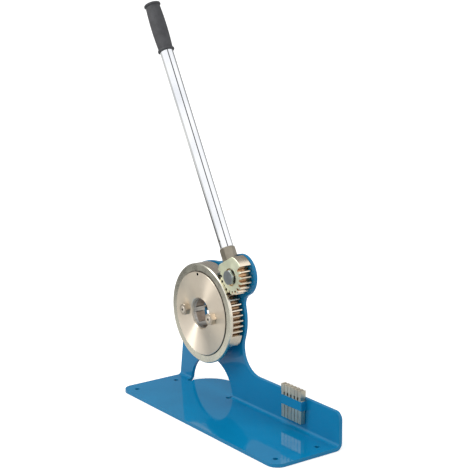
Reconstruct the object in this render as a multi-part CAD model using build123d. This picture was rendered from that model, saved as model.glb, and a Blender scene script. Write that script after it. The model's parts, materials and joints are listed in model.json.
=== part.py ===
"""Bench-mounted radial crimping press worked by a hand lever.

Frame: X runs along the base plate, Y from the operator's side to the back, Z up.
The origin lies on the bench, straight below the crimping axis, in the plane of the tower's front face.
All sizes are in millimetres.
"""
from build123d import *
from math import acos, atan2, cos, hypot, pi, radians, sin, sqrt, tan
import os

os.makedirs("parts", exist_ok=True)

# cylinders that stand on their own plane
BOTTOM = (Align.CENTER, Align.CENTER, Align.MIN)

# ---- sheet-metal frame ----
SHEET = 6.0
BEND_INNER = 6.0
BASE_LEFT = -111.0
BASE_RIGHT = 345.0
BASE_FRONT = -131.0
BASE_CORNER = 20.0
FLANGE_TOP = 64.0
FLANGE_CORNER = 14.0
BENCH_HOLE_R = 4.5
BENCH_HOLE_X = (-86.0, 322.0)
BENCH_HOLE_Y = (-112.0, -27.0)
ARCH_X = -10.6
ARCH_R = 65.0
TONGUE_R = 58.0
RELIEF_R = 5.0
RELIEF_REACH = 60.5
FOOT_FILLET = 45.0
LOBE_FILLET_LOW = 20.0
LOBE_FILLET_HIGH = 150.0

# ---- crimping head ----
HEAD_Z = 155.0
TOWER_HEAD_R = 91.0
TOWER_BORE_R = 34.0
THROAT_R = 27.0
COVER_R = 75.5
COVER_FRONT = -32.0
COVER_BACK = -27.5
GUIDE_R = 76.0
GUIDE_FRONT = -22.0
GUIDE_FLOOR = -3.0
HUB_R = 48.0
HUB_FRONT = -27.5
HEAD_STUD_REACH = 40.0
DOWEL_R = 4.0
DOWEL_FRONT = -16.0
DOWEL_ANGLES = (60.0, 240.0)
OIL_HOLE_R = 2.5
OIL_HOLE_DEPTH = 3.5
OIL_HOLE_REACH = 71.0
OIL_HOLE_ANGLE = 96.0
MARK_R = 0.9
MARK_DEPTH = 0.6
MARK_REACH = 43.5
MARK_PITCH = 3.2
MARK_ANGLE = -46.0

# ---- gears ----
MODULE = 3.0
RING_TEETH = 58
PINION_TEETH = 19
PRESSURE_ANGLE = radians(20.0)
BACKLASH = 0.2
GAP_OVERRUN = 0.6
ROOT_DEPTH = 1.25 * MODULE
MESH_ANGLE = 45.5
CENTRE_DISTANCE = MODULE * (RING_TEETH + PINION_TEETH) / 2
PINION_X = CENTRE_DISTANCE * cos(radians(MESH_ANGLE))
PINION_Z = HEAD_Z + CENTRE_DISTANCE * sin(radians(MESH_ANGLE))

# ---- cam ring ----
RING_R = MODULE * (RING_TEETH + 2) / 2
RING_FRONT = -30.0
FLANGE_BACK = -25.0
RING_BACK = -3.5
RECESS_R = 76.3
WEB_FRONT = -27.3
WEB_BACK = -22.3
WEB_BORE_R = 52.0
WEB_R = 80.0
DRUM_BORE_R = 76.5
DRUM_START = -29.0
DRUM_SWEEP = 234.0
FIRST_GAP = -10
LAST_GAP = 2

# ---- jaws and their drive ----
JAW_COUNT = 6
JAW_WIDTH = 20.0
JAW_BACK = -3.2
JAW_FRONT = -21.8
JAW_TOP = 73.4
SLOT_INNER = 20.0
SLOT_OUTER = 73.8
DIE_TIP = 28.0
DIE_HEIGHT = 7.0
DIE_WIDTH = 18.4
JAW_STROKE = 10.0
LEVER_STROKE = 130.0
RING_STROKE = LEVER_STROKE * PINION_TEETH / RING_TEETH
PIN_R = 4.0
PIN_REACH = 68.5
PIN_FRONT = -26.9
PIN_BACK = -9.2
SLIDE_GAP = 0.1
CAM_PLAY = 0.15

# ---- pinion and lever ----
PINION_FRONT = -24.4
PINION_BACK = -1.5
PINION_BLOCK_R = 37.0
BLOCK_CHAMFER = 0.8
TOOTH_END_CHAMFER = 2.2
PINION_FLAT = 30.0
PINION_BUSH_R = 11.0
PINION_FIRST_GAP = -2
PINION_LAST_GAP = 9
BLOCK_ANGLES = (41.0, 100.0, 172.0)
RUNNING_FIT = 0.05
SPIGOT_LOW_R = 8.0
SPIGOT_DEPTH = 12.0
TUBE_PIN_R = 2.5
TUBE_PIN_BORE_R = 1.3
TUBE_PIN_REACH = 66.0
LEVER_ANGLE = 119.4
LEVER_Y = -13.0
BOSS_END = 52.0
BOSS_ACROSS_FLATS = 24.0
SPIGOT_R = 9.9
SPIGOT_END = 84.0
TUBE_R = 12.0
TUBE_BORE_R = 10.0
GRIP_START = 425.0
LEVER_END = 518.0
GRIP_R = 14.6
GRIP_NECK_R = 12.9
GRIP_LIP_R = 15.2
GRIP_LIP = 4.6
GRIP_LIP_ROUND = 1.9
GRIP_END_WALL = 3.0

# ---- bolts ----
M16_R = 8.0
M16_ACROSS_FLATS = 24.0
M16_HEAD = 10.0
M16_NUT = 13.0
M12_R = 6.0
M12_NUT = 10.0
M12_ACROSS_FLATS = 19.0
STUD_PROUD = 1.2
STUD_CENTRE_R = 2.0
STUD_CENTRE_DEPTH = 2.5
BOLT_SEAT = -20.3
BOLT_RECESS_R = 15.6
BOLT_RECESS_FLOOR = -19.4
BOLT_END = 25.0
WASHER_R = 15.0
WASHER_THICK = 3.0
THRUST_R = 22.0
THRUST_FRONT = -1.3
BOLT_TURN = 18.0
NUT_TURN = 10.0
EASY_FIT = 0.1
HOLE_FIT = 0.5

# ---- spare-die rack ----
DIE_PITCH = 8.9
RACK_X = 233.0
RACK_LOW = 44.0
RACK_TOP = 60.0
RACK_DEPTH = 11.4
RACK_LENGTH = 54.8
SHOULDER_GAP = 0.1
POCKET = (7.9, 8.8)
SPARE_SHANK = (7.6, 8.4)
SPARE_HEAD = (8.0, 10.4)
SPARE_NECK = 5.4
SPARE_LOW = 20.5
SPARE_HEAD_LOW = 66.0
SPARE_TOP = 78.8
SPARE_HOLLOW_R = 5.0
SPARE_HOLLOW_DEPTH = 1.4


def slab(sketch, y_front, y_back):
    """A plate with the outline `sketch` (drawn in X and Z) between two values of Y."""
    return extrude(Plane.XZ.offset(-y_back) * sketch, amount=y_back - y_front)


def round_bar(x, z, r, y_front, y_back):
    return slab(Pos(x, z) * Circle(r), y_front, y_back)


def tube(x, z, r_out, r_in, y_front, y_back):
    return slab(Pos(x, z) * (Circle(r_out) - Circle(r_in)), y_front, y_back)


def hexagon(x, z, across_flats, turn=0.0):
    return Pos(x, z) * RegularPolygon(across_flats / 2, 6, major_radius=False, rotation=turn)


def circles_at(part, y, radius):
    """The circular edges of one radius that lie at one value of Y."""
    found = ShapeList()
    for edge in part.edges().filter_by(GeomType.CIRCLE):
        if abs(edge.radius - radius) < 0.01 and abs(edge.center().Y - y) < 0.01:
            found.append(edge)
    return found


def save(part, node):
    export_step(part, f"parts/{node}.step")


# ---------------------------------------------------------------- frame


def blend_web(c1, r1, c2, r2, r, side):
    """The web that rounds the corner between two circles with a hollow arc of radius r."""
    dx, dz = c2[0] - c1[0], c2[1] - c1[1]
    span = hypot(dx, dz)
    along = (span**2 + (r1 + r) ** 2 - (r2 + r) ** 2) / (2 * span)
    across = side * sqrt((r1 + r) ** 2 - along**2)
    fx = c1[0] + (dx * along + dz * across) / span
    fz = c1[1] + (dz * along - dx * across) / span
    web = make_face(Polyline(c1, c2, (fx, fz), close=True))
    return web - Pos(fx, fz) * Circle(r)


def tower_outline():
    head = (0.0, HEAD_Z)
    lobe = (PINION_X, PINION_Z)
    bend_top = SHEET + BEND_INNER
    foot = (BASE_LEFT, bend_top)
    reach = hypot(foot[0], head[1] - foot[1])
    lean = atan2(head[1] - foot[1], -foot[0]) + atan2(TOWER_HEAD_R, sqrt(reach**2 - TOWER_HEAD_R**2))
    run = sqrt(reach**2 - TOWER_HEAD_R**2)
    touch = (foot[0] + run * cos(lean), foot[1] + run * sin(lean))
    # the arc that joins the head to the flange touches both
    toe_x = sqrt((TOWER_HEAD_R + FOOT_FILLET) ** 2 - (HEAD_Z - FLANGE_TOP - FOOT_FILLET) ** 2)
    toe = (toe_x, FLANGE_TOP + FOOT_FILLET)
    legs = make_face(Polyline(foot, touch, head, toe, (toe_x, bend_top), close=True))
    strip = Rectangle(BASE_RIGHT, FLANGE_TOP - bend_top)
    strip = Pos(BASE_RIGHT / 2, (bend_top + FLANGE_TOP) / 2) * strip
    corner = strip.vertices().sort_by(Axis.X)[-2:].sort_by(Axis.Y)[-1]
    outline = Pos(*head) * Circle(TOWER_HEAD_R) + Pos(*lobe) * Circle(PINION_BLOCK_R)
    outline += legs - Pos(*toe) * Circle(FOOT_FILLET)
    outline += fillet(corner, FLANGE_CORNER)
    outline += blend_web(head, TOWER_HEAD_R, lobe, PINION_BLOCK_R, LOBE_FILLET_LOW, 1)
    outline += blend_web(head, TOWER_HEAD_R, lobe, PINION_BLOCK_R, LOBE_FILLET_HIGH, -1)
    return outline


def base_frame():
    """One sheet, cut and bent: base plate, tower and flange, with a tongue left flat under the arch."""
    bend_top = SHEET + BEND_INNER
    section = Polyline((BASE_FRONT, 0), (-BEND_INNER, 0))
    section += CenterArc((-BEND_INNER, bend_top), bend_top, -90, 90)
    section += Polyline((SHEET, bend_top), (SHEET, bend_top + 1), (0, bend_top + 1), (0, bend_top))
    section += CenterArc((-BEND_INNER, bend_top), BEND_INNER, 0, -90)
    section += Polyline((-BEND_INNER, SHEET), (BASE_FRONT, SHEET), (BASE_FRONT, 0))
    folded = extrude(Plane.YZ.offset(BASE_LEFT) * make_face(section), amount=BASE_RIGHT - BASE_LEFT)
    corners = folded.edges().filter_by(Axis.Z).group_by(Axis.Y)[0]
    folded = fillet(corners, BASE_CORNER)
    folded += slab(tower_outline(), 0, SHEET)
    arch = Pos(ARCH_X, 0) * Circle(ARCH_R)
    folded -= slab(arch, -BEND_INNER, SHEET + 1)
    tongue = Pos(ARCH_X, -BEND_INNER) * Circle(TONGUE_R)
    tongue &= Pos(ARCH_X, TONGUE_R - BEND_INNER) * Rectangle(2 * TONGUE_R, 2 * TONGUE_R)
    folded += extrude(tongue, amount=SHEET)
    holes = [(x, y, BENCH_HOLE_R) for x in BENCH_HOLE_X for y in BENCH_HOLE_Y]
    holes += [(ARCH_X + side * RELIEF_REACH, -BEND_INNER, RELIEF_R) for side in (-1, 1)]
    for x, y, r in holes:
        folded -= Pos(x, y, SHEET) * Cylinder(r, 4 * SHEET)
    folded -= round_bar(0, HEAD_Z, TOWER_BORE_R, -1, SHEET + 1)
    folded -= round_bar(PINION_X, PINION_Z, M16_R + HOLE_FIT, -1, SHEET + 1)
    for side in (-1, 1):
        folded -= round_bar(side * HEAD_STUD_REACH, HEAD_Z, M12_R + HOLE_FIT, -1, SHEET + 1)
    for x, z in dowel_places():
        folded -= round_bar(x, z, DOWEL_R, -1, SHEET + 1)
    return folded


# ---------------------------------------------------------------- head


def jaw_angles():
    return [90.0 + 360.0 / JAW_COUNT * k for k in range(JAW_COUNT)]


def dowel_places():
    """Two locating dowels, in the walls between jaws."""
    return [polar(HEAD_STUD_REACH, a) for a in DOWEL_ANGLES]


def polar(r, angle, x=0.0, z=HEAD_Z):
    return (x + r * cos(radians(angle)), z + r * sin(radians(angle)))


def radial_block(inner, outer, width, y_front, y_back, angle):
    """A block whose length points away from the crimping axis at `angle`."""
    middle = (inner + outer) / 2
    block = Pos(middle, 0) * Rectangle(outer - inner, width)
    return slab(Pos(0, HEAD_Z) * (Rot(0, 0, angle) * block), y_front, y_back)


def guide_body():
    """The fixed body: a drum with radial jaw slots milled from its front, and the ring's hub."""
    body = round_bar(0, HEAD_Z, GUIDE_R, GUIDE_FRONT, 0)
    body += round_bar(0, HEAD_Z, HUB_R, HUB_FRONT, GUIDE_FRONT)
    body -= round_bar(0, HEAD_Z, THROAT_R, HUB_FRONT - 1, 1)
    body -= round_bar(0, HEAD_Z, TOWER_BORE_R, GUIDE_FLOOR, 1)
    width = JAW_WIDTH + 2 * SLIDE_GAP
    for angle in jaw_angles():
        body -= radial_block(SLOT_INNER, SLOT_OUTER, width, GUIDE_FRONT, GUIDE_FLOOR, angle)
    for side in (-1, 1):
        body -= round_bar(side * HEAD_STUD_REACH, HEAD_Z, M12_R + EASY_FIT, HUB_FRONT - 1, 1)
    for x, z in dowel_places():
        body -= round_bar(x, z, DOWEL_R, DOWEL_FRONT, 1)
    return body


def cover_disc():
    """The turned front cover: it closes the jaw slots, and the hose goes in through its middle."""
    disc = tube(0, HEAD_Z, COVER_R, THROAT_R, COVER_FRONT, COVER_BACK)
    disc = chamfer(circles_at(disc, COVER_FRONT, COVER_R), 1.0)
    disc = chamfer(circles_at(disc, COVER_FRONT, THROAT_R), 1.6)
    for x in (-HEAD_STUD_REACH, HEAD_STUD_REACH):
        disc -= round_bar(x, HEAD_Z, M12_R + EASY_FIT, COVER_FRONT - 1, COVER_BACK + 1)
    oil_x, oil_z = polar(OIL_HOLE_REACH, OIL_HOLE_ANGLE)
    disc -= round_bar(oil_x, oil_z, OIL_HOLE_R, COVER_FRONT - 1, COVER_FRONT + OIL_HOLE_DEPTH)
    for step in range(3):
        x, z = polar(MARK_REACH + MARK_PITCH * step, MARK_ANGLE)
        disc -= round_bar(x, z, MARK_R, COVER_FRONT - 1, COVER_FRONT + MARK_DEPTH)
    return disc


def cover_stud(x, z):
    """M12 stud through the cover, the hub and the tower, centre-drilled at its front end."""
    front = COVER_FRONT - M12_NUT - STUD_PROUD
    back = SHEET + M12_NUT + STUD_PROUD
    stud = round_bar(x, z, M12_R, front, back)
    stud = chamfer(circles_at(stud, front, M12_R) + circles_at(stud, back, M12_R), 0.8)
    return stud - round_bar(x, z, STUD_CENTRE_R, front - 1, front + STUD_CENTRE_DEPTH)


def hex_nut(x, z, across_flats, bore, y_front, y_back, turn=0.0):
    blank = slab(hexagon(x, z, across_flats, turn), y_front, y_back)
    corner = across_flats / sqrt(3)
    cone = round_bar(x, z, corner, y_front, y_back)
    cone = chamfer(circles_at(cone, y_front, corner) + circles_at(cone, y_back, corner), corner * 0.1)
    return (blank & cone) - round_bar(x, z, bore, y_front - 1, y_back + 1)


def cover_nuts():
    """A nut on each end of both studs."""
    nuts = []
    for x in (-HEAD_STUD_REACH, HEAD_STUD_REACH):
        for y in (COVER_FRONT - M12_NUT, SHEET):
            nuts.append(hex_nut(x, HEAD_Z, M12_ACROSS_FLATS, M12_R, y, y + M12_NUT, NUT_TURN))
    return Compound(nuts)


# ---------------------------------------------------------------- gears


def involute(angle):
    return tan(angle) - angle


def gap_sketch(teeth):
    """The space between two teeth, open past their tips, drawn straight up from the gear's axis."""
    pitch_r = MODULE * teeth / 2
    base_r = pitch_r * cos(PRESSURE_ANGLE)
    root_r = pitch_r - ROOT_DEPTH
    open_r = pitch_r + MODULE + GAP_OVERRUN
    start_r = max(base_r, root_r)
    flank = []
    for step in range(5):
        r = start_r + (open_r - start_r) * step / 4
        tooth_half = pi / (2 * teeth) - BACKLASH / (2 * pitch_r)
        tooth_half += involute(PRESSURE_ANGLE) - involute(acos(base_r / r))
        flank.append((r, pi / teeth - tooth_half))

    def at(r, half):
        return (r * sin(half), r * cos(half))

    right = [at(r, half) for r, half in flank]
    left = [at(r, -half) for r, half in flank]
    first = flank[0][1]
    outline = Spline(*right) + Line(right[-1], left[-1]) + Spline(*left)
    if root_r < start_r - 0.01:
        outline += Line(right[0], at(root_r, first)) + Line(left[0], at(root_r, -first))
    outline += ThreePointArc(at(root_r, first), at(root_r, 0), at(root_r, -first))
    return make_face(outline)


def cut_gaps(gear, teeth, x, z, angles, y_front, y_back):
    """The gear with a gap between teeth cut at each of `angles`."""
    gap = gap_sketch(teeth)
    for angle in angles:
        gear -= slab(Pos(x, z) * (Rot(0, 0, angle - 90) * gap), y_front, y_back)
    return gear


def spiral_slot(jaw_angle):
    """The cam slot for one jaw: it brings the drive pin in by the jaw's stroke as the ring turns."""
    half = PIN_R + CAM_PLAY
    slope = atan2(JAW_STROKE / radians(RING_STROKE), PIN_REACH)

    def at(step, offset):
        turned = RING_STROKE * step
        r = PIN_REACH - JAW_STROKE * step
        x, z = polar(r, jaw_angle - turned)
        side = radians(jaw_angle - turned) - slope
        return (x + offset * cos(side), z + offset * sin(side))

    steps = [k / 8 for k in range(9)]
    outer = Spline(*[at(s, half) for s in steps])
    inner = Spline(*[at(s, -half) for s in steps])
    ends = Line(at(0, half), at(0, -half)) + Line(at(1, half), at(1, -half))
    slot = make_face(outer + inner + ends)
    for step in (0, 1):
        slot += Pos(*at(step, 0)) * Circle(half)
    return slot


def ring_drum():
    """The rim behind the flange: part of a turn, toothed along the stretch that meets the pinion."""
    end = DRUM_START + DRUM_SWEEP
    middle = (DRUM_START + end) / 2
    corners = [polar(2 * RING_R, a, 0, 0) for a in (DRUM_START, middle - 60, middle, middle + 60, end)]
    wedge = make_face(Polyline((0, 0), *corners, close=True))
    rim = (Circle(RING_R) - Circle(DRUM_BORE_R)) & wedge
    drum = slab(Pos(0, HEAD_Z) * rim, FLANGE_BACK, RING_BACK)
    pitch = 360.0 / RING_TEETH
    angles = [MESH_ANGLE + pitch * (k + 0.5) for k in range(FIRST_GAP, LAST_GAP + 1)]
    return cut_gaps(drum, RING_TEETH, 0, HEAD_Z, angles, FLANGE_BACK, RING_BACK + 1)


def cam_ring():
    """The turning ring: full front flange, a web with six cam slots, and the toothed rim."""
    ring = tube(0, HEAD_Z, RING_R, RECESS_R, RING_FRONT, FLANGE_BACK)
    ring = chamfer(circles_at(ring, RING_FRONT, RING_R), 1.5)
    ring = chamfer(circles_at(ring, RING_FRONT, RECESS_R), 0.5)
    ring += tube(0, HEAD_Z, WEB_R, WEB_BORE_R, WEB_FRONT, WEB_BACK)
    ring += ring_drum()
    for angle in jaw_angles():
        ring -= slab(spiral_slot(angle), WEB_FRONT - 1, WEB_BACK + 1)
    return ring


def lever_side():
    """Everything past the flat that the lever stands on."""
    far = 4 * PINION_BLOCK_R
    half_plane = Pos(PINION_FLAT + far / 2, 0) * Rectangle(far, far)
    return Pos(PINION_X, PINION_Z) * (Rot(0, 0, LEVER_ANGLE) * half_plane)


def pinion_blank(radius, end_chamfer):
    blank = round_bar(PINION_X, PINION_Z, radius, PINION_FRONT, PINION_BACK)
    return chamfer(circles_at(blank, PINION_FRONT, radius), end_chamfer)


def pinion():
    """Toothed over half its rim; the rest is a plain block with the flat that the lever stands on."""
    far = 3 * PINION_BLOCK_R
    corners = [polar(far, angle, 0, 0) for angle in BLOCK_ANGLES]
    upper = make_face(Polyline((0, 0), *corners, close=True))
    body = pinion_blank(MODULE * (PINION_TEETH + 2) / 2, TOOTH_END_CHAMFER)
    block = pinion_blank(PINION_BLOCK_R, BLOCK_CHAMFER)
    body += block & slab(Pos(PINION_X, PINION_Z) * upper, PINION_FRONT, PINION_BACK)
    body -= slab(lever_side(), PINION_FRONT - 1, PINION_BACK + 1)
    pitch = 360.0 / PINION_TEETH
    angles = [MESH_ANGLE + 180 + pitch * k for k in range(PINION_FIRST_GAP, PINION_LAST_GAP + 1)]
    body = cut_gaps(body, PINION_TEETH, PINION_X, PINION_Z, angles, PINION_FRONT - 1, PINION_BACK + 1)
    body -= round_bar(PINION_X, PINION_Z, PINION_BUSH_R + RUNNING_FIT, PINION_FRONT - 1, PINION_BACK + 1)
    body -= round_bar(PINION_X, PINION_Z, BOLT_RECESS_R, PINION_FRONT - 1, BOLT_RECESS_FLOOR)
    return body - on_lever(Cylinder(SPIGOT_LOW_R, SPIGOT_DEPTH, align=BOTTOM), PINION_FLAT - SPIGOT_DEPTH)


# ---------------------------------------------------------------- lever


def on_lever(solid, reach):
    """Places a solid drawn along Z on the lever's axis, `reach` from the pinion's axis."""
    x, z = polar(reach, LEVER_ANGLE, PINION_X, PINION_Z)
    return Pos(x, LEVER_Y, z) * Rot(0, 90 - LEVER_ANGLE, 0) * solid


def lever_boss():
    """Hexagonal socket piece: a spigot down into the pinion and a longer one up into the tube."""
    length = BOSS_END - PINION_FLAT
    body = extrude(hexagon(0, 0, BOSS_ACROSS_FLATS), amount=length)
    corner = BOSS_ACROSS_FLATS / sqrt(3)
    cone = Cylinder(corner, length)
    cone = chamfer(cone.edges().filter_by(GeomType.CIRCLE), 1.4)
    body &= Pos(0, 0, length / 2) * cone
    low = SPIGOT_DEPTH - 0.1
    body += Pos(0, 0, -low) * Cylinder(SPIGOT_LOW_R, low, align=BOTTOM)
    body += Pos(0, 0, length) * Cylinder(SPIGOT_R, SPIGOT_END - BOSS_END, align=BOTTOM)
    body -= Pos(0, 0, TUBE_PIN_REACH - PINION_FLAT) * Rot(90, 0, 0) * Cylinder(TUBE_PIN_R, 4 * TUBE_R)
    return on_lever(body, PINION_FLAT)


def lever_tube():
    length = LEVER_END - GRIP_END_WALL - BOSS_END
    body = Cylinder(TUBE_R, length, align=BOTTOM)
    body = fillet(body.edges().filter_by(GeomType.CIRCLE), 0.8)
    body -= Pos(0, 0, -1) * Cylinder(TUBE_BORE_R, length + 2, align=BOTTOM)
    body -= Pos(0, 0, TUBE_PIN_REACH - BOSS_END) * Rot(90, 0, 0) * Cylinder(TUBE_PIN_R, 4 * TUBE_R)
    return on_lever(body, BOSS_END)


def tube_pin():
    """Spring pin that ties the tube to the boss, flush with the tube at both ends."""
    pin = Cylinder(TUBE_PIN_R, 2 * TUBE_R - 1.0) - Cylinder(TUBE_PIN_BORE_R, 2 * TUBE_R)
    return on_lever(Rot(90, 0, 0) * pin, TUBE_PIN_REACH)


def hand_grip():
    """Rubber sleeve: slightly barrel-shaped, a rolled lip at each end, closed at the top."""
    length = LEVER_END - GRIP_START
    low, high = GRIP_LIP / 2, length - GRIP_LIP / 2
    swell = Spline((GRIP_NECK_R, low), (GRIP_R, 0.52 * length), (GRIP_NECK_R, high))
    ends = Polyline((GRIP_NECK_R, high), (0, high), (0, low), (GRIP_NECK_R, low))
    body = revolve(Plane.XZ * make_face(swell + ends), Axis.Z)
    lip = Cylinder(GRIP_LIP_R, GRIP_LIP, align=BOTTOM)
    lip = fillet(lip.edges().filter_by(GeomType.CIRCLE), GRIP_LIP_ROUND)
    body += lip
    body += Pos(0, 0, length - GRIP_LIP) * lip
    body -= Pos(0, 0, -1) * Cylinder(TUBE_R, length - GRIP_END_WALL + 1, align=BOTTOM)
    return on_lever(body, GRIP_START)


def pinion_bolt():
    head_front = BOLT_SEAT - M16_HEAD
    head = slab(hexagon(PINION_X, PINION_Z, M16_ACROSS_FLATS, BOLT_TURN), head_front, BOLT_SEAT)
    corner = M16_ACROSS_FLATS / sqrt(3)
    cone = round_bar(PINION_X, PINION_Z, corner, head_front, BOLT_SEAT)
    head &= chamfer(circles_at(cone, head_front, corner), 1.5)
    shank = round_bar(PINION_X, PINION_Z, M16_R, BOLT_SEAT, BOLT_END)
    return head + chamfer(circles_at(shank, BOLT_END, M16_R), 1.2)


def washer(r_out, r_in, y_front, y_back):
    return tube(PINION_X, PINION_Z, r_out, r_in, y_front, y_back)


# ---------------------------------------------------------------- jaws


def jaw(angle):
    body = radial_block(DIE_TIP + DIE_HEIGHT, JAW_TOP, JAW_WIDTH, JAW_FRONT, JAW_BACK, angle)
    x, z = polar(PIN_REACH, angle)
    return body - round_bar(x, z, PIN_R, JAW_FRONT - 1, PIN_BACK)


def fitted_die(angle):
    """Crimping die with a hollow face, on the inner end of its jaw."""
    body = radial_block(DIE_TIP - 3, DIE_TIP + DIE_HEIGHT, DIE_WIDTH, JAW_FRONT, JAW_BACK, angle)
    return body - round_bar(0, HEAD_Z, DIE_TIP, JAW_FRONT - 1, JAW_BACK + 1)


def drive_pin(angle):
    x, z = polar(PIN_REACH, angle)
    return round_bar(x, z, PIN_R, PIN_FRONT, PIN_BACK)


# ---------------------------------------------------------------- die rack


def rack_places():
    return [RACK_X + DIE_PITCH * (k - 2.5) for k in range(6)]


def block(x, width, y_mid, depth, low, high):
    return Pos(x, y_mid, (low + high) / 2) * Box(width, depth, high - low)


def die_holder():
    body = block(RACK_X, RACK_LENGTH, -RACK_DEPTH / 2, RACK_DEPTH, RACK_LOW, RACK_TOP)
    body = fillet(body.edges().filter_by(Axis.Z).group_by(Axis.Y)[0], 1.5)
    for x in rack_places():
        body -= block(x, POCKET[0], -RACK_DEPTH / 2, POCKET[1], RACK_LOW - 1, RACK_TOP + 1)
    return body


def spare_die(x):
    y_mid = -RACK_DEPTH / 2
    shoulder = RACK_TOP + SHOULDER_GAP
    shank = block(x, SPARE_SHANK[0], y_mid, SPARE_SHANK[1], SPARE_LOW, shoulder)
    neck = block(x, SPARE_NECK, y_mid, SPARE_HEAD[1], shoulder, SPARE_HEAD_LOW)
    head = block(x, SPARE_HEAD[0], y_mid, SPARE_HEAD[1], SPARE_HEAD_LOW, SPARE_TOP)
    head -= round_bar(x, SPARE_TOP + SPARE_HOLLOW_R - SPARE_HOLLOW_DEPTH, SPARE_HOLLOW_R, -RACK_DEPTH, 0)
    return shank + neck + head


# ---------------------------------------------------------------- all nodes


def save_head():
    save(base_frame(), "base_frame")
    save(guide_body(), "guide_body")
    save(cover_disc(), "cover_disc")
    studs = [cover_stud(x, HEAD_Z) for x in (-HEAD_STUD_REACH, HEAD_STUD_REACH)]
    save(Compound(studs), "cover_studs")
    save(cover_nuts(), "cover_nuts")
    dowels = [round_bar(x, z, DOWEL_R, DOWEL_FRONT, SHEET) for x, z in dowel_places()]
    save(Compound(dowels), "guide_dowels")
    save(cam_ring(), "cam_ring")
    save(tube(0, HEAD_Z, WEB_BORE_R, HUB_R + RUNNING_FIT, WEB_FRONT, WEB_BACK), "ring_bush")


def save_lever():
    save(pinion(), "pinion")
    save(washer(PINION_BUSH_R, M16_R + EASY_FIT, BOLT_SEAT, 0), "pinion_bush")
    save(washer(THRUST_R, PINION_BUSH_R + EASY_FIT, THRUST_FRONT, 0), "thrust_washer")
    save(pinion_bolt(), "pinion_bolt")
    save(washer(WASHER_R, M16_R + EASY_FIT, SHEET, SHEET + WASHER_THICK), "back_washer")
    seat = SHEET + WASHER_THICK
    save(hex_nut(PINION_X, PINION_Z, M16_ACROSS_FLATS, M16_R, seat, seat + M16_NUT), "pinion_nut")
    save(lever_boss(), "lever_boss")
    save(lever_tube(), "lever_tube")
    save(tube_pin(), "tube_pin")
    save(hand_grip(), "hand_grip")


def save_jaws():
    for number, angle in enumerate(jaw_angles(), start=1):
        save(jaw(angle), f"jaw_{number}")
        save(fitted_die(angle), f"die_{number}")
        save(drive_pin(angle), f"drive_pin_{number}")


def save_rack():
    save(die_holder(), "die_holder")
    for number, x in enumerate(rack_places(), start=1):
        save(spare_die(x), f"spare_die_{number}")


save_head()
save_lever()
save_jaws()
save_rack()
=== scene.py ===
"""Bench radial crimping press: looks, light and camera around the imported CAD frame. Lengths are in metres."""
import json
from math import cos, radians, sin

import bpy
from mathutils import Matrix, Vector

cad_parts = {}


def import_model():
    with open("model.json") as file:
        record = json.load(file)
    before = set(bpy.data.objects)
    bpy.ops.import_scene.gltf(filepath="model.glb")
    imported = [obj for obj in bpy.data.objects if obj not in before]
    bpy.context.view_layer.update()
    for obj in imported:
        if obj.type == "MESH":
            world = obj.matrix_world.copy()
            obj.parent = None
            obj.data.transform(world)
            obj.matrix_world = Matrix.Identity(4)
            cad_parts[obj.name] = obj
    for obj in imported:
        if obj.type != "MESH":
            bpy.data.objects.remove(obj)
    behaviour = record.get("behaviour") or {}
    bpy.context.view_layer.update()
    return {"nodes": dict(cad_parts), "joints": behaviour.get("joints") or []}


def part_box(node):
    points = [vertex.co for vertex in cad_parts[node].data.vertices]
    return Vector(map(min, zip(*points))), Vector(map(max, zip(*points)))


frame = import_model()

NODES = frame["nodes"]
JOINTS = {joint["name"]: joint for joint in frame["joints"]}
MM = 0.001

RING_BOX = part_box("cam_ring")
HEAD = (RING_BOX[0] + RING_BOX[1]) / 2
PINION = Vector(JOINTS["lever_swing"]["pos_m"])
MODULE = 3 * MM
# Both gears are toothed over part of their rim; these are the counts for the full circle.
RING_TEETH = 58
PINION_TEETH = 19
RING_PITCH_R = RING_TEETH / 2 * MODULE
PINION_PITCH_R = PINION_TEETH / 2 * MODULE
ADDENDUM = MODULE
DEDENDUM = 1.25 * MODULE
M12_THREAD_R = 6 * MM
M12_PITCH = 1.75 * MM
STUD_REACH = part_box("cover_studs")[1][0] - M12_THREAD_R
STUD_CENTRE_R = 2.0 * MM
OIL_HOLE_TURN = radians(96)
OIL_HOLE_REACH = 71 * MM
OIL_HOLE_R = 2.5 * MM
OIL_HOLE = HEAD + OIL_HOLE_REACH * Vector((cos(OIL_HOLE_TURN), 0, sin(OIL_HOLE_TURN)))
COVER_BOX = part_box("cover_disc")
COVER_R = (COVER_BOX[1][0] - COVER_BOX[0][0]) / 2
COVER_GAP = 0.7 * MM
BARE_GUIDE_R = 75.6 * MM


# ---------------------------------------------------------------- material kit


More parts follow.
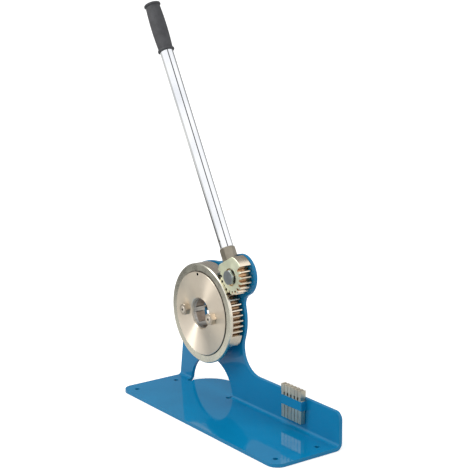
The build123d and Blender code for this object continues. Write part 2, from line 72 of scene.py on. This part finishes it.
class Graph:
    """Short names for the nodes and links of one node tree."""

    def __init__(self, tree):
        self.tree = tree

    def node(self, kind, **settings):
        made = self.tree.nodes.new(kind)
        for key, value in settings.items():
            setattr(made, key, value)
        return made

    def feed(self, socket, value):
        if isinstance(value, bpy.types.NodeSocket):
            self.tree.links.new(value, socket)
        else:
            socket.default_value = value

    def math(self, operation, a, b=0.0):
        made = self.node("ShaderNodeMath", operation=operation)
        self.feed(made.inputs[0], a)
        self.feed(made.inputs[1], b)
        return made.outputs[0]

    def vector(self, operation, a, b=(0, 0, 0)):
        made = self.node("ShaderNodeVectorMath", operation=operation)
        self.feed(made.inputs[0], a)
        self.feed(made.inputs[1], b)
        return made.outputs["Value" if operation in ("LENGTH", "DOT_PRODUCT") else "Vector"]

    def scale(self, vector, by):
        made = self.node("ShaderNodeVectorMath", operation="SCALE")
        self.feed(made.inputs[0], vector)
        self.feed(made.inputs["Scale"], by)
        return made.outputs["Vector"]

    def spread(self, value, low, high, to_low=0.0, to_high=1.0):
        """Maps low..high of a value onto to_low..to_high, smoothly and clamped."""
        made = self.node("ShaderNodeMapRange", interpolation_type="SMOOTHSTEP")
        for socket, number in zip(made.inputs, (value, low, high, to_low, to_high)):
            self.feed(socket, number)
        return made.outputs[0]

    def vary(self, noise, to_low=0.0, to_high=1.0):
        """Maps the middle of a noise, where most of its values lie, onto to_low..to_high."""
        return self.spread(noise, 0.3, 0.7, to_low, to_high)

    def blend(self, share, a, b):
        """Colour a where share is 0, colour b where it is 1."""
        made = self.node("ShaderNodeMix", data_type="RGBA")
        self.feed(made.inputs["Factor"], share)
        self.feed(made.inputs[6], a if isinstance(a, bpy.types.NodeSocket) else (*a, 1.0))
        self.feed(made.inputs[7], b if isinstance(b, bpy.types.NodeSocket) else (*b, 1.0))
        return made.outputs[2]


class Finish(Graph):
    """A Principled material; text keys set its plain sockets, and the methods feed the others with nodes."""

    def __init__(self, name, colour, **sockets):
        self.material = bpy.data.materials.new(name)
        self.material.use_nodes = True
        super().__init__(self.material.node_tree)
        self.shader = self.tree.nodes["Principled BSDF"]
        self.shader.inputs["Base Color"].default_value = (*colour, 1.0)
        for socket, value in sockets.items():
            self.shader.inputs[socket.replace("_", " ")].default_value = value
        self.where = self.node("ShaderNodeTexCoord").outputs["Object"]
        self.normal = None

    def noise(self, scale, stretch=(1, 1, 1), detail=3.0, roughness=0.55):
        made = self.node("ShaderNodeTexNoise")
        self.feed(made.inputs["Vector"], self.vector("MULTIPLY", self.where, stretch))
        made.inputs["Scale"].default_value = scale
        made.inputs["Detail"].default_value = detail
        made.inputs["Roughness"].default_value = roughness
        return made.outputs["Fac"]

    def from_axis(self, axis):
        """The offset from a line along Y through `axis`, square to that line."""
        return self.vector("MULTIPLY", self.vector("SUBTRACT", self.where, tuple(axis)), (1, 0, 1))

    def axis_radius(self, axis):
        return self.vector("LENGTH", self.from_axis(axis))

    def turned(self, axis):
        """Grooves run round the line along Y through `axis`, so light spreads towards it and away from it."""
        self.feed(self.shader.inputs["Tangent"], self.vector("NORMALIZE", self.from_axis(axis)))

    def edge(self, radius):
        """0 on flats, 1 on edges and corners: how far the rounded normal leans from the flat one."""
        soft = self.node("ShaderNodeBevel", samples=6)
        soft.inputs["Radius"].default_value = radius
        flat = self.node("ShaderNodeNewGeometry").outputs["Normal"]
        lean = self.math("SUBTRACT", 1.0, self.vector("DOT_PRODUCT", soft.outputs[0], flat))
        self.normal = soft.outputs[0]
        return self.spread(lean, 0.02, 0.35)

    def threads(self, pitch):
        """Screw threads along Y: they show only on surfaces that face square to it."""
        split = self.node("ShaderNodeSeparateXYZ")
        self.feed(split.inputs[0], self.where)
        turns = self.math("FRACT", self.math("DIVIDE", split.outputs["Y"], pitch))
        self.bump(self.math("ABSOLUTE", self.math("SUBTRACT", turns, 0.5)), 0.9 * pitch, 0.8)

    def dish(self, axis, lean):
        """Leans the surface towards its axis, as on a face turned slightly hollow."""
        inward = self.scale(self.vector("NORMALIZE", self.from_axis(axis)), -lean)
        self.normal = self.vector("NORMALIZE", self.vector("ADD", self.normal, inward))

    def bump(self, height, distance, strength):
        made = self.node("ShaderNodeBump")
        self.feed(made.inputs["Height"], height)
        made.inputs["Distance"].default_value = distance
        made.inputs["Strength"].default_value = strength
        if self.normal is not None:
            self.feed(made.inputs["Normal"], self.normal)
        self.normal = made.outputs["Normal"]

    def done(self, colour, roughness):
        self.feed(self.shader.inputs["Base Color"], colour)
        self.feed(self.shader.inputs["Roughness"], roughness)
        self.feed(self.shader.inputs["Normal"], self.normal)
        return self.material


# ---------------------------------------------------------------- materials

BLUE = (0.0035, 0.196, 0.405)
BLUE_DEEP = (0.0025, 0.176, 0.368)
PRIMER = (0.20, 0.30, 0.36)
# Near-black brown used as painted shade: in the oil hole, on the drilled stud centres, and along the seam
# between cover disc and ring.
PAINTED_SHADE = (0.05, 0.035, 0.02)


def paint():
    """Glossy enamel over sheet steel: slight orange peel, thinner and duller along the cut edges."""
    f = Finish("blue_enamel", BLUE, Specular_IOR_Level=0.3)
    edge = f.edge(0.7 * MM)
    cloud = f.noise(9, detail=4)
    dust = f.noise(160, detail=5, roughness=0.7)
    colour = f.blend(f.vary(cloud), BLUE, BLUE_DEEP)
    colour = f.blend(f.math("MULTIPLY", edge, 0.20), colour, PRIMER)
    rough = f.math("ADD", f.spread(dust, 0.35, 0.75, 0.04, 0.08), f.math("MULTIPLY", edge, 0.15))
    f.bump(f.noise(420, detail=1), 0.008 * MM, 0.4)
    f.bump(f.noise(40, detail=1), 0.04 * MM, 0.2)
    return f.done(colour, rough)


def guide_paint():
    """The drum of the guide body: painted on its rim, bare machined steel inside."""
    f = Finish("guide_steel_and_enamel", BLUE)
    radius = f.axis_radius(HEAD)
    bare = f.spread(radius, BARE_GUIDE_R, BARE_GUIDE_R + 0.3 * MM, 1, 0)
    lines = f.noise(900, stretch=(1, 0.05, 1), detail=2)
    steel = f.blend(f.vary(lines), (0.42, 0.40, 0.37), (0.60, 0.57, 0.52))
    colour = f.blend(bare, BLUE_DEEP, steel)
    f.feed(f.shader.inputs["Metallic"], bare)
    f.bump(lines, 0.01 * MM, 0.4)
    return f.done(colour, f.spread(bare, 0, 1, 0.16, 0.38))


def turned_steel(name, light, dark, axis):
    """Lathe-turned, passivated steel: fine concentric lines, clouds of tint, rubbed edges, painted shade in the
    oil hole and along the rim where the disc meets the ring.
    """
    f = Finish(name, light, Metallic=1.0, Anisotropic=0.95)
    f.turned(axis)
    edge = f.edge(0.6 * MM)
    f.dish(axis, 0.30)
    rings = f.node("ShaderNodeTexNoise", noise_dimensions="1D")
    f.feed(rings.inputs["W"], f.axis_radius(axis))
    rings.inputs["Scale"].default_value = 5000.0
    rings.inputs["Detail"].default_value = 3.0
    lines = rings.outputs["Fac"]
    cloud = f.noise(14, detail=5, roughness=0.6)
    spots = f.noise(220, detail=3)
    colour = f.blend(f.spread(cloud, 0.3, 0.72), light, dark)
    colour = f.blend(f.spread(spots, 0.66, 0.78, 0, 0.25), colour, (0.30, 0.27, 0.22))
    colour = f.blend(f.math("MULTIPLY", edge, 0.25), colour, (0.93, 0.90, 0.82))
    # Painted shade: the oil hole is coloured near-black, standing in for the shade inside it.
    hole = f.spread(f.axis_radius(OIL_HOLE), OIL_HOLE_R, OIL_HOLE_R + 0.4 * MM, 1, 0)
    colour = f.blend(hole, colour, PAINTED_SHADE)
    # Painted shade: the disc's outer rim darkens towards the seam where it meets the ring.
    rim = f.spread(f.axis_radius(axis), COVER_R - COVER_GAP, COVER_R, 0, 0.8)
    colour = f.blend(rim, colour, PAINTED_SHADE)
    rough = f.math("ADD", f.vary(lines, 0.39, 0.45), f.vary(cloud, -0.03, 0.03))
    f.bump(lines, 0.004 * MM, 0.4)
    return f.done(colour, rough)


def gear_steel(name, axis, pitch_r, face, rim, root_oil_and_shade, face_rough, seam=0.0):
    """Milled gear: passivated face, bright rim, and orange-brown oil with painted shade down between the teeth;
    painted shade in a band just outside the radius seam.
    """
    f = Finish(name, face, Metallic=1.0, Anisotropic=0.4)
    f.turned(axis)
    edge = f.edge(0.5 * MM)
    radius = f.axis_radius(axis)
    across = f.noise(260, stretch=(0.3, 1.0, 0.3), detail=1)
    cloud = f.noise(30, detail=5)
    facing = f.node("ShaderNodeNewGeometry").outputs["Normal"]
    side = f.math("ABSOLUTE", f.vector("DOT_PRODUCT", facing, (0, 1, 0)))
    wall = f.spread(side, 0.3, 0.7, 1, 0)
    # Towards the tooth roots the colour turns darker and browner: partly oil, partly painted shade between the
    # teeth.
    low = f.math("MULTIPLY", f.spread(radius, pitch_r - DEDENDUM, pitch_r + ADDENDUM, 0.95, 0.0), wall)
    colour = f.blend(low, f.blend(wall, face, rim), root_oil_and_shade)
    colour = f.blend(f.math("MULTIPLY", edge, 0.5), colour, (0.90, 0.86, 0.76))
    # Painted shade: a dark band on the gear face just outside the radius seam, where the ring meets the cover
    # disc.
    colour = f.blend(f.spread(radius, seam, seam + 1.1 * MM, 0.9, 0.0), colour, PAINTED_SHADE)
    colour = f.scale(colour, f.vary(cloud, 1.0, 0.84))
    f.bump(across, 0.006 * MM, 0.2)
    rough = f.spread(wall, 0, 1, face_rough, 0.24)
    return f.done(colour, f.math("ADD", rough, f.vary(across, -0.03, 0.04)))


def ground_steel(name, light, dark, stretch, rough=(0.28, 0.42)):
    """Ground or milled steel with straight tool lines, slightly stained."""
    f = Finish(name, light, Metallic=1.0, Anisotropic=0.35)
    edge = f.edge(0.4 * MM)
    lines = f.noise(1100, stretch=stretch, detail=2)
    cloud = f.noise(45, detail=4)
    colour = f.blend(f.spread(cloud, 0.32, 0.7), light, dark)
    colour = f.blend(f.math("MULTIPLY", edge, 0.5), colour, (0.88, 0.86, 0.80))
    f.bump(lines, 0.015 * MM, 0.5)
    return f.done(colour, f.vary(lines, *rough))


def stud_steel():
    """The cover's studs: ground ends, with a drilled centre painted dark as shade."""
    f = Finish("stud_steel", (0.80, 0.72, 0.62), Metallic=1.0)
    edge = f.edge(0.4 * MM)
    reach = f.vector("SUBTRACT", f.vector("ABSOLUTE", f.where), (STUD_REACH, 0, HEAD.z))
    reach = f.vector("LENGTH", f.vector("MULTIPLY", reach, (1, 0, 1)))
    # Painted shade: the middle of each stud end is coloured near-black, standing in for the shade in a drilled
    # centre.
    centre = f.spread(reach, STUD_CENTRE_R, STUD_CENTRE_R + 0.5 * MM, 1, 0)
    lines = f.noise(900, detail=2)
    colour = f.blend(f.vary(lines), (0.84, 0.77, 0.67), (0.70, 0.63, 0.54))
    colour = f.blend(f.math("MULTIPLY", edge, 0.5), colour, (0.92, 0.90, 0.84))
    f.threads(M12_PITCH)
    return f.done(f.blend(centre, colour, PAINTED_SHADE), f.vary(lines, 0.32, 0.44))


def chrome():
    """Polished plating with very fine dust marks and a few slightly dull patches."""
    f = Finish("chrome_tube", (0.86, 0.87, 0.90), Metallic=1.0)
    haze = f.noise(25, stretch=(1, 1, 0.4), detail=4)
    dust = f.noise(500, detail=2)
    f.bump(dust, 0.004 * MM, 0.3)
    colour = f.blend(f.spread(haze, 0.35, 0.7), (0.88, 0.89, 0.91), (0.76, 0.78, 0.82))
    return f.done(colour, f.spread(haze, 0.35, 0.7, 0.05, 0.11))


def rubber():
    """Moulded rubber: matte, finely pebbled, a little chalky where it rubs."""
    f = Finish("grip_rubber", (0.06, 0.06, 0.065), Specular_IOR_Level=0.3)
    edge = f.edge(1.2 * MM)
    pebble = f.noise(1500, detail=2)
    cloud = f.noise(60, detail=5, roughness=0.65)
    colour = f.blend(f.vary(cloud), (0.052, 0.053, 0.058), (0.078, 0.079, 0.086))
    colour = f.blend(f.math("MULTIPLY", edge, 0.3), colour, (0.13, 0.13, 0.14))
    f.bump(pebble, 0.05 * MM, 0.5)
    return f.done(colour, f.vary(cloud, 0.50, 0.66))


def bronze():
    """Turned bearing bronze, unevenly tarnished."""
    f = Finish("bronze_bush", (0.62, 0.42, 0.20), Metallic=1.0)
    lines = f.noise(800, stretch=(1, 3, 1), detail=2)
    f.bump(lines, 0.01 * MM, 0.4)
    colour = f.blend(f.noise(40), (0.66, 0.46, 0.23), (0.45, 0.29, 0.13))
    return f.done(colour, f.vary(lines, 0.30, 0.42))


def put(material, *names):
    """Gives CAD nodes a material; their meshes stay as packed."""
    for name in names:
        for slot in NODES[name].material_slots:
            slot.material = material


def dress():
    """Every CAD node gets the material of the real piece."""
    put(paint(), "base_frame", "die_holder")
    put(guide_paint(), "guide_body")
    put(turned_steel("disc_steel", (0.90, 0.81, 0.68), (0.82, 0.73, 0.61), HEAD), "cover_disc")
    put(gear_steel("ring_steel", HEAD, RING_PITCH_R, face=(0.76, 0.74, 0.63), rim=(0.84, 0.76, 0.64),
                   root_oil_and_shade=(0.33, 0.20, 0.11), face_rough=0.28, seam=COVER_R), "cam_ring")
    put(gear_steel("pinion_steel", PINION, PINION_PITCH_R, face=(0.88, 0.91, 0.70), rim=(0.92, 0.80, 0.64),
                   root_oil_and_shade=(0.56, 0.33, 0.17), face_rough=0.46), "pinion")
    put(ground_steel("boss_steel", (0.42, 0.38, 0.31), (0.31, 0.28, 0.22), (1, 0.2, 0.2), rough=(0.34, 0.48)),
        "lever_boss")
    put(ground_steel("bright_zinc", (0.44, 0.48, 0.50), (0.34, 0.38, 0.40), (1, 1, 1)),
        "pinion_bolt", "pinion_nut", "back_washer")
    put(ground_steel("nut_steel", (0.66, 0.58, 0.48), (0.50, 0.44, 0.36), (1, 1, 1)), "cover_nuts")
    put(stud_steel(), "cover_studs")
    put(chrome(), "lever_tube")
    put(rubber(), "hand_grip")
    put(bronze(), "ring_bush", "thrust_washer")
    # The jaws, dies and pins get a dark brown steel, kept this dark partly as painted shade for the inside of
    # the bore.
    tool = ground_steel("tool_steel", (0.34, 0.28, 0.23), (0.17, 0.13, 0.10), (0.3, 1, 0.3))
    put(tool, "tube_pin", "pinion_bush", "guide_dowels")
    for number in range(1, 7):
        put(tool, f"jaw_{number}", f"die_{number}", f"drive_pin_{number}")
    spare = ground_steel("spare_die_steel", (0.72, 0.66, 0.53), (0.58, 0.53, 0.43), (1, 1, 0.08))
    put(spare, *[f"spare_die_{number}" for number in range(1, 7)])


# ---------------------------------------------------------------- light, floor and camera

ROOM_LOW = 0.30
ROOM_HIGH = 1.15
SEAM_LEVEL = 0.04
DARK_SIDE = Vector((-0.80, 0.50, 0.33)).normalized()
DARK_SIDE_FADE = (0.36, 0.74)
DARK_PATCH = (-1.05, -0.80, 0.0)
DARK_PATCH_FADE = (0.35, 1.05)
SEAM_TURN = radians(-16.7)
SEAM = (cos(SEAM_TURN), sin(SEAM_TURN), 0.0)
SEAM_ACROSS = (-sin(SEAM_TURN), cos(SEAM_TURN), 0.0)
SEAM_FADE = (0.09, 0.17)
FLOOR_DROP = 0.2 * MM
FLOOR_SIZE = 60
FLOOR_GLOW = 0.32
CAMERA_PLACE = (1.87887, -1.33356, 0.81925)
CAMERA_AZIMUTH = 53.734
CAMERA_ELEVATION = 12.853
CAMERA_LENS = 102.46


def world():
    """White to the eye. Reflections see a bright room that is dark behind on the left, with one dark seam."""
    made = bpy.data.worlds.new("studio")
    made.use_nodes = True
    g = Graph(made.node_tree)
    way = g.node("ShaderNodeTexCoord").outputs["Generated"]
    ray = g.node("ShaderNodeLightPath")
    dim = g.spread(g.vector("DOT_PRODUCT", way, tuple(DARK_SIDE)), *DARK_SIDE_FADE)
    across = g.math("ABSOLUTE", g.vector("DOT_PRODUCT", way, SEAM_ACROSS))
    ahead = g.spread(g.vector("DOT_PRODUCT", way, SEAM), 0, 0.3)
    seam = g.math("MULTIPLY", g.spread(across, *SEAM_FADE, 1, 0), ahead)
    room = g.math("MULTIPLY", g.spread(dim, 0, 1, ROOM_HIGH, ROOM_LOW), g.spread(seam, 0, 1, 1, SEAM_LEVEL))
    extra = g.math("MULTIPLY", ray.outputs["Is Glossy Ray"], g.math("SUBTRACT", room, 1.0))
    level = g.math("ADD", extra, 1.0)
    sky = g.tree.nodes["Background"]
    sky.inputs["Color"].default_value = (1, 1, 1, 1)
    g.feed(sky.inputs["Strength"], level)
    bpy.context.scene.world = made


def floor():
    """A wide pale sweep. In reflections it has one dark patch, out to the left."""
    bpy.ops.mesh.primitive_plane_add(size=FLOOR_SIZE, location=(0, 0, -FLOOR_DROP))
    plane = bpy.context.object
    plane.name = "studio_floor"
    f = Finish("studio_floor", (0.62, 0.62, 0.62), Roughness=0.9, Specular_IOR_Level=0.1)
    ray = f.node("ShaderNodeLightPath")
    reach = f.vector("LENGTH", f.vector("SUBTRACT", f.where, DARK_PATCH))
    mirrored = f.blend(f.spread(reach, *DARK_PATCH_FADE), (0.08, 0.08, 0.08), (0.66, 0.66, 0.64))
    lit = f.blend(ray.outputs["Is Glossy Ray"], (0.60, 0.60, 0.60), mirrored)
    f.feed(f.shader.inputs["Base Color"], f.blend(ray.outputs["Is Camera Ray"], lit, (0.90, 0.90, 0.90)))
    f.feed(f.shader.inputs["Emission Color"], (1.0, 1.0, 1.0, 1.0))
    f.feed(f.shader.inputs["Emission Strength"], f.math("MULTIPLY", ray.outputs["Is Camera Ray"], FLOOR_GLOW))
    plane.data.materials.append(f.material)


def softbox(name, place, size, power, tint):
    """A rectangular area light that faces the head."""
    data = bpy.data.lights.new(name, "AREA")
    data.shape = "RECTANGLE"
    data.size, data.size_y = size
    data.energy = power
    data.color = tint
    lamp = bpy.data.objects.new(name, data)
    lamp.location = place
    lamp.rotation_euler = (HEAD - Vector(place)).to_track_quat("-Z", "Y").to_euler()
    bpy.context.scene.collection.objects.link(lamp)


def camera():
    """A long lens, turned and tilted to look down on the press from the front right."""
    data = bpy.data.cameras.new("camera")
    data.sensor_width = 36.0
    data.lens = CAMERA_LENS
    data.clip_end = 200.0
    eye = bpy.data.objects.new("camera", data)
    eye.location = CAMERA_PLACE
    eye.rotation_euler = (radians(90 - CAMERA_ELEVATION), 0, radians(CAMERA_AZIMUTH))
    bpy.context.scene.collection.objects.link(eye)
    bpy.context.scene.camera = eye


def studio():
    bpy.context.scene.view_settings.view_transform = "Standard"
    world()
    floor()
    softbox("key_left", place=(-0.9, -1.9, 2.3), size=(1.4, 1.4), power=30, tint=(1.0, 0.98, 0.94))
    camera()


dress()
studio()
